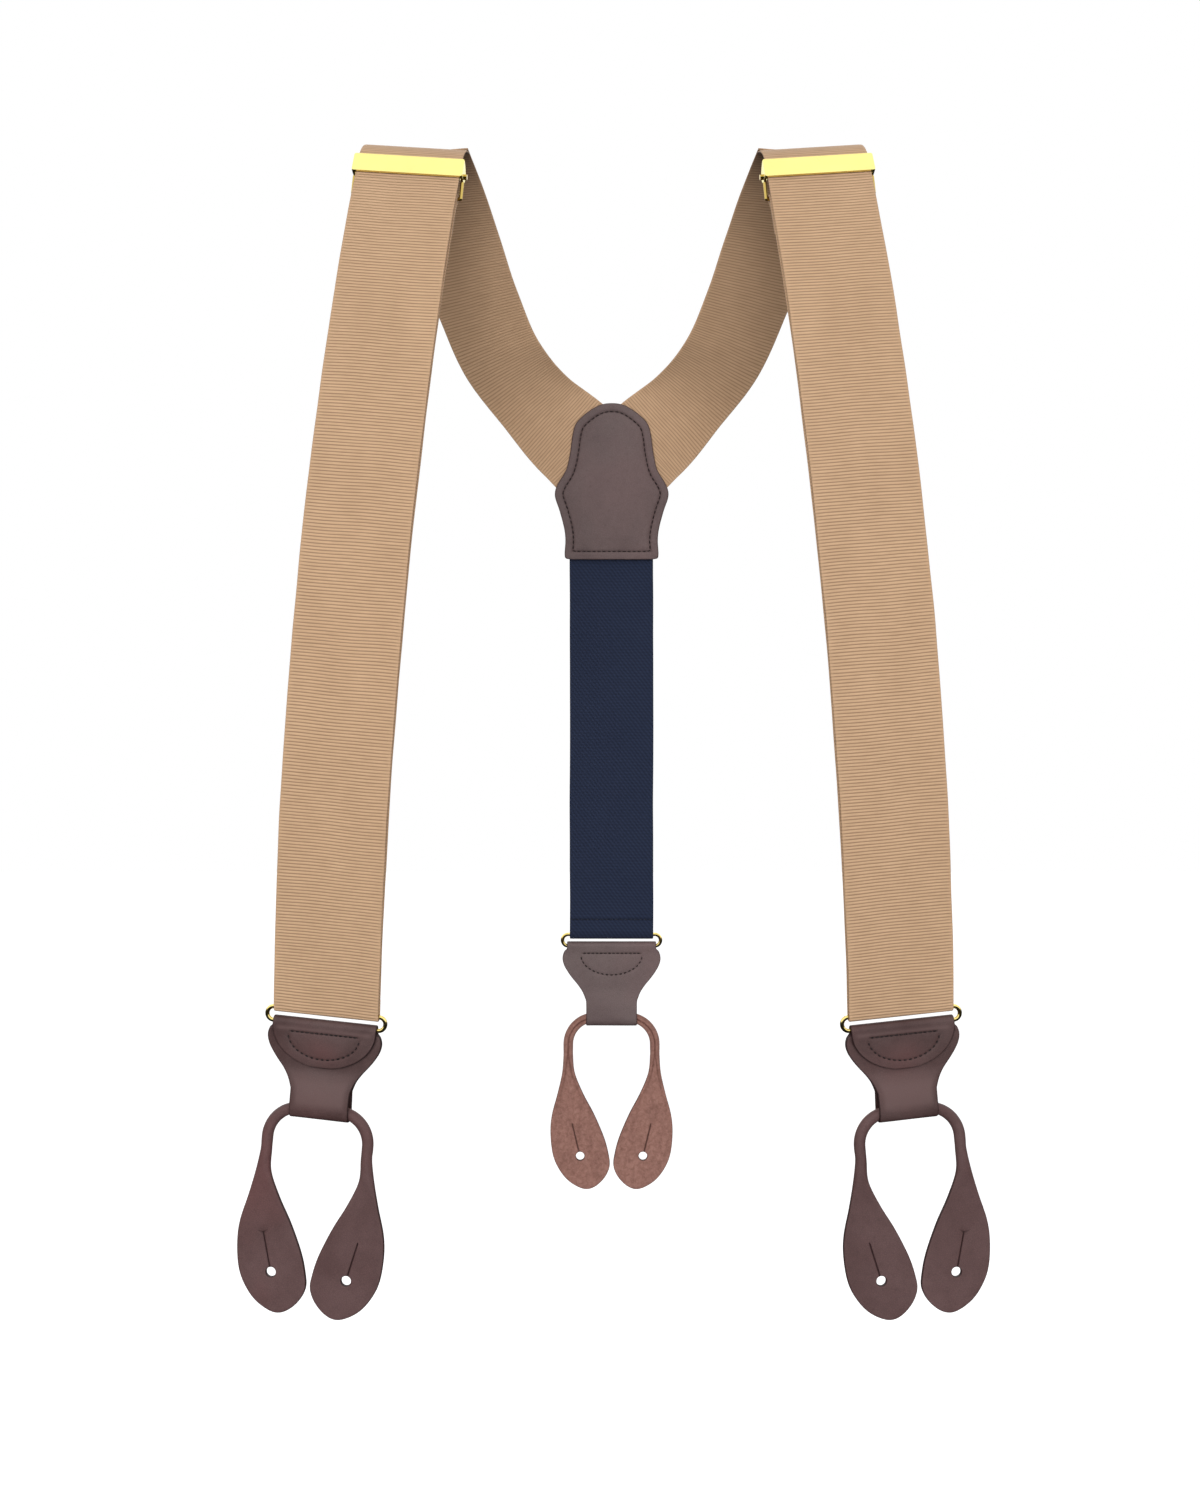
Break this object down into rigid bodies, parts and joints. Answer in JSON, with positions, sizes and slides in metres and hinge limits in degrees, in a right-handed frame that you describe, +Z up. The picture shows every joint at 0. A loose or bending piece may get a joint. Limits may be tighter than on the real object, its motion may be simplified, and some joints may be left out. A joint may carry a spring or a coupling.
{
  "type": "suspenders",
  "caption": "Y-back button-on suspenders: two grosgrain ribbons, sliding adjusters, a navy elastic back web, wire rings, leather tabs and rolled loops with buttonholes.",
  "frame": {"origin": "midway between the two shoulder crests, on the underside of the ribbons", "axes": "+Z up, -Y towards the front of the wearer, +X towards the wearer's left"},
  "size_m": [0.2686, 0.132, 0.4246],
  "materials": {
    "grosgrain": "cross-ribbed grosgrain ribbon, soft satin sheen",
    "navy_elastic": "matt twill-woven elastic",
    "strap_leather": "smooth calf leather with a faint grain",
    "loop_leather": "smooth rolled leather, darker waxed edges",
    "suede_leather": "napped flesh side of the leather",
    "brown_thread": "twisted thread",
    "gilt_brass": "polished gilt",
    "cord_core": "twisted cotton cord"
  },
  "bodies": {
    "harness": {"left_ribbon": "grosgrain", "right_ribbon": "grosgrain", "y_patch_inner": "strap_leather", "y_patch_outer": "strap_leather", "y_patch_stitching": "brown_thread", "elastic_web": "navy_elastic"},
    "back_hem": {"elastic_hem_turn": "navy_elastic", "elastic_hem_stitching": "navy_elastic"},
    "back_ring_body": {"back_ring": "gilt_brass"},
    "back_tab_body": {"back_tab": "strap_leather", "back_tab_stitching": "brown_thread"},
    "back_loop_body": {"back_button_loop": "suede_leather", "back_loop_core": "cord_core"},
    "left_hem": {"left_hem_turn": "grosgrain"},
    "left_adjuster": {"left_return_ribbon": "grosgrain", "left_return_stitching": "brown_thread", "left_adjuster_plate": "gilt_brass", "left_adjuster_bail": "gilt_brass", "left_adjuster_pivot": "gilt_brass"},
    "left_lever": {"left_adjuster_lever": "gilt_brass"},
    "left_ring_body": {"left_ring": "gilt_brass"},
    "left_tab_body": {"left_tab": "strap_leather", "left_tab_stitching": "brown_thread"},
    "left_loop_body": {"left_button_loop": "loop_leather", "left_loop_core": "cord_core"},
    "right_hem": {"right_hem_turn": "grosgrain"},
    "right_adjuster": {"right_return_ribbon": "grosgrain", "right_return_stitching": "brown_thread", "right_adjuster_plate": "gilt_brass", "right_adjuster_bail": "gilt_brass", "right_adjuster_pivot": "gilt_brass"},
    "right_lever": {"right_adjuster_lever": "gilt_brass"},
    "right_ring_body": {"right_ring": "gilt_brass"},
    "right_tab_body": {"right_tab": "strap_leather", "right_tab_stitching": "brown_thread"},
    "right_loop_body": {"right_button_loop": "loop_leather", "right_loop_core": "cord_core"}
  },
  "joints": [
    {"name": "left_length", "type": "hinge", "parent": "harness", "child": "left_hem", "pos_m": [-0.04791, 0.45618, -0.17866], "axis": [0.9921, -0.0868, -0.0906], "range_deg": [0, 4.5]},
    {"name": "left_adjuster_slide", "type": "hinge", "parent": "left_hem", "child": "left_adjuster", "pos_m": [-0.04791, 0.45618, -0.17866], "axis": [0.9921, -0.0868, -0.0906], "range_deg": [0, 4.5], "deforming": ["left_return_ribbon"]},
    {"name": "left_lever_flip", "type": "hinge", "parent": "left_adjuster", "child": "left_lever", "pos_m": [-0.07353, -0.01086, -0.01185], "axis": [0.9921, -0.0868, -0.0906], "range_deg": [-80, 0]},
    {"name": "left_ring_swing", "type": "hinge", "parent": "left_hem", "child": "left_ring_body", "pos_m": [-0.1019, -0.02067, -0.31295], "axis": [0.9921, -0.0868, -0.0906], "range_deg": [-35, 35]},
    {"name": "left_tab_swing", "type": "hinge", "parent": "left_ring_body", "child": "left_tab_body", "pos_m": [-0.10234, -0.02063, -0.31778], "axis": [0.9921, -0.0868, -0.0906], "range_deg": [-45, 45]},
    {"name": "left_loop_swing", "type": "hinge", "parent": "left_tab_body", "child": "left_loop_body", "pos_m": [-0.10505, -0.02039, -0.34776], "axis": [0.9921, -0.0868, -0.0906], "range_deg": [-45, 45]},
    {"name": "right_length", "type": "hinge", "parent": "harness", "child": "right_hem", "pos_m": [0.04791, 0.45618, -0.17866], "axis": [0.9921, 0.0868, 0.0906], "range_deg": [0, 4.5]},
    {"name": "right_adjuster_slide", "type": "hinge", "parent": "right_hem", "child": "right_adjuster", "pos_m": [0.04791, 0.45618, -0.17866], "axis": [0.9921, 0.0868, 0.0906], "range_deg": [0, 4.5], "deforming": ["right_return_ribbon"]},
    {"name": "right_lever_flip", "type": "hinge", "parent": "right_adjuster", "child": "right_lever", "pos_m": [0.07353, -0.01086, -0.01185], "axis": [0.9921, 0.0868, 0.0906], "range_deg": [-80, 0]},
    {"name": "right_ring_swing", "type": "hinge", "parent": "right_hem", "child": "right_ring_body", "pos_m": [0.1019, -0.02067, -0.31295], "axis": [0.9921, 0.0868, 0.0906], "range_deg": [-35, 35]},
    {"name": "right_tab_swing", "type": "hinge", "parent": "right_ring_body", "child": "right_tab_body", "pos_m": [0.10234, -0.02063, -0.31778], "axis": [0.9921, 0.0868, 0.0906], "range_deg": [-45, 45]},
    {"name": "right_loop_swing", "type": "hinge", "parent": "right_tab_body", "child": "right_loop_body", "pos_m": [0.10505, -0.02039, -0.34776], "axis": [0.9921, 0.0868, 0.0906], "range_deg": [-45, 45]},
    {"name": "back_stretch", "type": "slide", "parent": "harness", "child": "back_hem", "axis": [0, 0, -1], "range_m": [0, 0.045], "stiffness_N_per_m": 150},
    {"name": "back_ring_swing", "type": "hinge", "parent": "back_hem", "child": "back_ring_body", "pos_m": [0, 0.085, -0.2976], "axis": [1, 0, 0], "range_deg": [-35, 35]},
    {"name": "back_tab_swing", "type": "hinge", "parent": "back_ring_body", "child": "back_tab_body", "pos_m": [0, 0.085, -0.30245], "axis": [1, 0, 0], "range_deg": [-45, 45]},
    {"name": "back_loop_swing", "type": "hinge", "parent": "back_tab_body", "child": "back_loop_body", "pos_m": [0, 0.085, -0.33255], "axis": [1, 0, 0], "range_deg": [-45, 45]}
  ],
  "couplings": [
    {"joint": "left_adjuster_slide", "follows": "left_length", "ratio": 1},
    {"joint": "right_adjuster_slide", "follows": "right_length", "ratio": 1}
  ]
}
